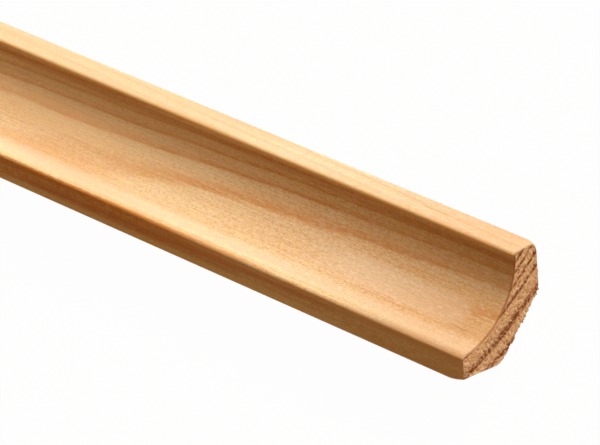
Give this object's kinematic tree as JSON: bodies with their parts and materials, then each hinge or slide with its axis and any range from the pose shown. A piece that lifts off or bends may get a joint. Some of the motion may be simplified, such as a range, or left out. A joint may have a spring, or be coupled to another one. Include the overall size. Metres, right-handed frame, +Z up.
{
  "type": "scotia moulding",
  "caption": "Long pine trim strip with a hollow quarter-round cove, square legs and a bevelled back, for an inside corner.",
  "frame": {"origin": "middle of the bevelled back at the centre of the length, on the surface that the strip lies on", "axes": "+X along the length, +Z up out of the cove, +Y towards the leg that goes up the wall when fitted"},
  "size_m": [2.4, 0.0252, 0.0093],
  "materials": {
    "pine": "planed and sanded bare pine"
  },
  "bodies": {
    "root": {"scotia_moulding": "pine"}
  },
  "joints": []
}
